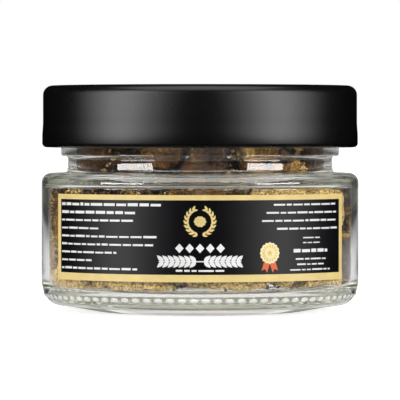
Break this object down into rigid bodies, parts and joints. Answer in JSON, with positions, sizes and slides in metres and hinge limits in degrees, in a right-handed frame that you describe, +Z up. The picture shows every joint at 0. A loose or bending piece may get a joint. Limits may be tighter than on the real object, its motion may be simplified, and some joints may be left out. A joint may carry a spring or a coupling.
{
  "type": "jar of dried black truffle",
  "caption": "Squat round glass jar with a deep black twist-off lid, a black and gold paper label and dried black truffle slices inside.",
  "frame": {"origin": "on the table under the middle of the jar", "axes": "+Z up through the lid, the label faces -Y"},
  "size_m": [0.0734, 0.0738, 0.0523],
  "materials": {
    "jar_glass": "clear, faint green, polished",
    "lid_lacquer": "satin black lacquer",
    "seal_plastisol": "soft, matt",
    "label_paper": "satin coated, gold border",
    "dried_truffle": "dry, granular cut faces and dark warty rind"
  },
  "bodies": {
    "jar": {"jar_glass": "jar_glass", "label": "label_paper", "truffle_slice_01": "dried_truffle", "truffle_slice_02": "dried_truffle", "truffle_slice_03": "dried_truffle", "truffle_slice_04": "dried_truffle", "truffle_slice_05": "dried_truffle", "truffle_slice_06": "dried_truffle", "truffle_slice_07": "dried_truffle", "truffle_slice_08": "dried_truffle", "truffle_slice_09": "dried_truffle", "truffle_slice_10": "dried_truffle", "truffle_slice_11": "dried_truffle", "truffle_slice_12": "dried_truffle", "truffle_slice_13": "dried_truffle", "truffle_slice_14": "dried_truffle", "truffle_slice_15": "dried_truffle", "truffle_slice_16": "dried_truffle", "truffle_slice_17": "dried_truffle", "truffle_slice_18": "dried_truffle", "truffle_slice_19": "dried_truffle", "truffle_slice_20": "dried_truffle", "truffle_slice_21": "dried_truffle", "truffle_slice_22": "dried_truffle", "truffle_slice_23": "dried_truffle", "truffle_slice_24": "dried_truffle", "truffle_slice_25": "dried_truffle", "truffle_slice_26": "dried_truffle", "truffle_slice_27": "dried_truffle", "truffle_slice_28": "dried_truffle", "truffle_slice_29": "dried_truffle", "truffle_slice_30": "dried_truffle", "truffle_slice_31": "dried_truffle", "truffle_slice_32": "dried_truffle", "truffle_slice_33": "dried_truffle", "truffle_slice_34": "dried_truffle", "truffle_slice_35": "dried_truffle", "truffle_slice_36": "dried_truffle", "truffle_slice_37": "dried_truffle", "truffle_slice_38": "dried_truffle", "truffle_slice_39": "dried_truffle", "truffle_slice_40": "dried_truffle", "truffle_slice_41": "dried_truffle", "truffle_slice_42": "dried_truffle", "truffle_slice_43": "dried_truffle", "truffle_slice_44": "dried_truffle", "truffle_slice_45": "dried_truffle", "truffle_slice_46": "dried_truffle", "truffle_slice_47": "dried_truffle", "truffle_slice_48": "dried_truffle", "truffle_slice_49": "dried_truffle", "truffle_slice_50": "dried_truffle", "truffle_slice_51": "dried_truffle", "truffle_slice_52": "dried_truffle", "truffle_slice_53": "dried_truffle", "truffle_slice_54": "dried_truffle", "truffle_slice_55": "dried_truffle"},
    "seal": {"lid_seal": "seal_plastisol"},
    "lid": {"lid": "lid_lacquer"}
  },
  "joints": [
    {"name": "lid_rise", "type": "slide", "parent": "jar", "child": "seal", "axis": [0, 0, 1], "range_m": [0, 0.0034]},
    {"name": "lid_turn", "type": "hinge", "parent": "seal", "child": "lid", "pos_m": [0, 0, 0.045], "axis": [0, 0, 1], "range_deg": [0, 90]}
  ],
  "couplings": [
    {"joint": "lid_rise", "follows": "lid_turn", "m_per_rad": 0.0021}
  ]
}
